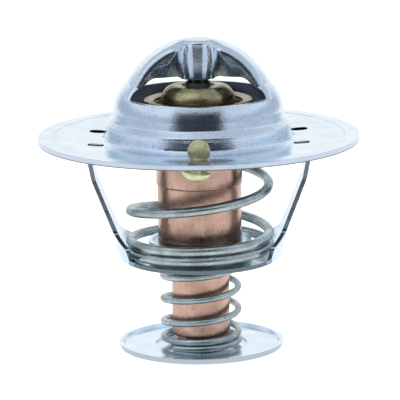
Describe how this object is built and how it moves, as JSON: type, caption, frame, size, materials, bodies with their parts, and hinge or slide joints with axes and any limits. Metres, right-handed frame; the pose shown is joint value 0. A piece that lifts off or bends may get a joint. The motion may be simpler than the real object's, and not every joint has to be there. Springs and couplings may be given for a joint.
{
  "type": "engine thermostat",
  "caption": "Upright wax-element engine thermostat with a round flange, a domed outlet bridge, a sprung main valve, a sprung bypass disc and a loose air vent pin.",
  "frame": {"origin": "on the thermostat's axis, in the top face of the flange rim", "axes": "+Z along the axis, up through the dome; the legs of the lower frame stand at +X and -X; the air vent pin is at -Y"},
  "size_m": [0.054, 0.054, 0.0534],
  "materials": {
    "plated_steel": "bright zinc plating with a faint blue cast, fine drawing marks",
    "valve_steel": "plain pressed steel, satin",
    "valve_coat": "dark slate coating on the valve plate, satin",
    "copper": "drawn copper, satin with small handling dents",
    "guide_brass": "dulled olive brass with a bright turned shoulder",
    "vent_brass": "pale brass, lightly tarnished",
    "piston_steel": "blackened ground steel",
    "spring_steel": "grey-green spring wire, lightly oiled",
    "black_rubber": "moulded rubber, satin",
    "washer_plastic": "white slippery plastic",
    "wax": "copper-filled paraffin wax, modelled as plastic"
  },
  "bodies": {
    "frame": {"flange_bridge": "plated_steel", "lower_frame": "plated_steel", "piston": "piston_steel", "main_spring": "spring_steel"},
    "element": {"main_valve": "valve_coat", "wax_cup": "copper", "guide_cap": "guide_brass", "pin_seal": "black_rubber", "seal_washer": "washer_plastic", "rubber_boot": "black_rubber", "wax_charge": "wax", "bypass_stem": "valve_steel", "stem_clip": "valve_steel", "bypass_spring": "spring_steel"},
    "bypass_valve": {"bypass_disc": "plated_steel"},
    "jiggle": {"jiggle_pin": "vent_brass"}
  },
  "joints": [
    {"name": "valve_lift", "type": "slide", "parent": "frame", "child": "element", "axis": [0, 0, -1], "range_m": [0, 0.0085], "stiffness_N_per_m": 3000, "springref_m": -0.0003, "deforming": ["main_spring"]},
    {"name": "bypass_slide", "type": "slide", "parent": "element", "child": "bypass_valve", "axis": [0, 0, 1], "range_m": [0, 0.004], "stiffness_N_per_m": 1500, "springref_m": -0.0008, "deforming": ["bypass_spring"]},
    {"name": "jiggle_lift", "type": "slide", "parent": "frame", "child": "jiggle", "axis": [0, 0, 1], "range_m": [0, 0.0008]}
  ]
}
